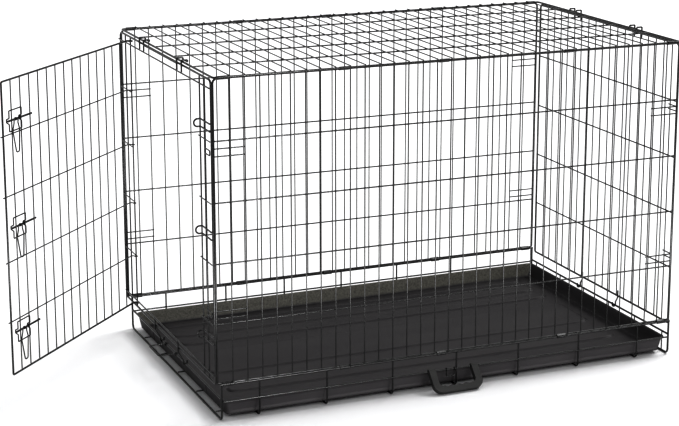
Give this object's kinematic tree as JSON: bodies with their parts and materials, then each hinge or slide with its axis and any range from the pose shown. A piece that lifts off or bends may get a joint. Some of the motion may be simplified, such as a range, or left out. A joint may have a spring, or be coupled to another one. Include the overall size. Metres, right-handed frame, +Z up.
{
  "type": "folding wire dog crate",
  "caption": "Folding wire dog crate: hinged wire panels clipped to a base frame, an end door with sliding bolts, a slide-out plastic tray and a carry handle.",
  "frame": {"origin": "middle of the crate's footprint, on the floor", "axes": "+X along the crate from the door end to the plain end, +Y from the front panel to the back panel, +Z up"},
  "size_m": [1.6757, 0.7948, 0.8273],
  "materials": {
    "wire": "satin black coating",
    "clip": "satin black coating on pressed strip",
    "tray": "black moulded plastic, fine grain",
    "grip": "black moulded plastic"
  },
  "bodies": {
    "base": {"base_back_clips": "clip", "base_end_hoops": "wire", "base_end_rails": "wire", "base_floor_wires": "wire", "base_front_clips": "clip", "base_hoops": "wire", "base_lower_rails": "wire", "base_risers": "wire", "base_upper_rails": "wire", "door_end_border": "wire", "door_end_hinge_hooks": "wire", "door_end_levels": "wire", "door_end_rails": "wire", "door_end_side_hooks": "wire", "door_end_top_hooks": "wire", "door_end_uprights": "wire", "hinge_rod": "wire", "latch_keepers": "wire"},
    "tray": {"tray": "tray"},
    "front_panel": {"front_border": "wire", "front_hook_rungs": "wire", "front_levels": "wire", "front_uprights": "wire", "top_front_clips": "clip"},
    "back_panel": {"back_border": "wire", "back_hook_rungs": "wire", "back_levels": "wire", "back_uprights": "wire", "top_back_clips": "clip"},
    "top_panel": {"top_border": "wire", "top_cross_wires": "wire", "top_long_wires": "wire"},
    "far_end": {"far_end_border": "wire", "far_end_hinge_hooks": "wire", "far_end_levels": "wire", "far_end_side_hooks": "wire", "far_end_top_hooks": "wire", "far_end_uprights": "wire"},
    "door": {"door_border": "wire", "door_uprights": "wire", "door_levels": "wire", "latch_guide_top": "wire", "latch_guide_middle": "wire", "latch_guide_bottom": "wire"},
    "carry_handle": {"carry_handle": "grip"},
    "closing_clasp": {"closing_clasp": "wire"},
    "pan_stop": {"pan_stop": "wire"},
    "bolt_top": {"latch_bolt_top": "wire"},
    "handle_top": {"latch_handle_top": "wire"},
    "bolt_middle": {"latch_bolt_middle": "wire"},
    "handle_middle": {"latch_handle_middle": "wire"},
    "bolt_bottom": {"latch_bolt_bottom": "wire"},
    "handle_bottom": {"latch_handle_bottom": "wire"}
  },
  "joints": [
    {"name": "tray_slide", "type": "slide", "parent": "base", "child": "tray", "axis": [-1, 0, 0], "range_m": [0, 1.15]},
    {"name": "front_fold", "type": "hinge", "parent": "base", "child": "front_panel", "pos_m": [0, -0.367, 0.09195], "axis": [-1, 0, 0], "range_deg": [0, 88]},
    {"name": "back_fold", "type": "hinge", "parent": "base", "child": "back_panel", "pos_m": [0, 0.367, 0.09195], "axis": [-1, 0, 0], "range_deg": [0, 88]},
    {"name": "top_fold", "type": "hinge", "parent": "front_panel", "child": "top_panel", "pos_m": [0, -0.3721, 0.81755], "axis": [-1, 0, 0], "range_deg": [-88, 0]},
    {"name": "far_end_fold", "type": "hinge", "parent": "base", "child": "far_end", "pos_m": [0.612, 0, 0.054], "axis": [0, -1, 0], "range_deg": [0, 88]},
    {"name": "door_swing", "type": "hinge", "parent": "base", "child": "door", "pos_m": [-0.61857, 0.265, 0.45], "axis": [0, 0, 1], "range_deg": [-110.5, 44.5]},
    {"name": "carry_handle_swing", "type": "hinge", "parent": "base", "child": "carry_handle", "pos_m": [-0.008, -0.37615, 0.048], "axis": [-1, 0, 0], "range_deg": [0, 103]},
    {"name": "closing_clasp_swing", "type": "hinge", "parent": "base", "child": "closing_clasp", "pos_m": [-0.014, -0.37615, 0.048], "axis": [-1, 0, 0], "range_deg": [0, 150]},
    {"name": "pan_stop_swing", "type": "hinge", "parent": "base", "child": "pan_stop", "pos_m": [-0.605, 0.0165, 0.054], "axis": [0, 1, 0], "range_deg": [-95, 0]},
    {"name": "bolt_slide_top", "type": "slide", "parent": "door", "child": "bolt_top", "axis": [-0.7009, -0.7133, 0], "range_m": [0, 0.028]},
    {"name": "handle_turn_top", "type": "hinge", "parent": "bolt_top", "child": "handle_top", "pos_m": [-0.99621, -0.09731, 0.704], "axis": [0.7009, 0.7133, 0], "range_deg": [0, 110]},
    {"name": "bolt_slide_middle", "type": "slide", "parent": "door", "child": "bolt_middle", "axis": [-0.7009, -0.7133, 0], "range_m": [0, 0.028]},
    {"name": "handle_turn_middle", "type": "hinge", "parent": "bolt_middle", "child": "handle_middle", "pos_m": [-0.99621, -0.09731, 0.451], "axis": [0.7009, 0.7133, 0], "range_deg": [0, 110]},
    {"name": "bolt_slide_bottom", "type": "slide", "parent": "door", "child": "bolt_bottom", "axis": [-0.7009, -0.7133, 0], "range_m": [0, 0.028]},
    {"name": "handle_turn_bottom", "type": "hinge", "parent": "bolt_bottom", "child": "handle_bottom", "pos_m": [-0.99621, -0.09731, 0.199], "axis": [0.7009, 0.7133, 0], "range_deg": [0, 110]}
  ],
  "couplings": [
    {"joint": "back_fold", "follows": "front_fold", "ratio": 1},
    {"joint": "top_fold", "follows": "front_fold", "ratio": -1}
  ]
}
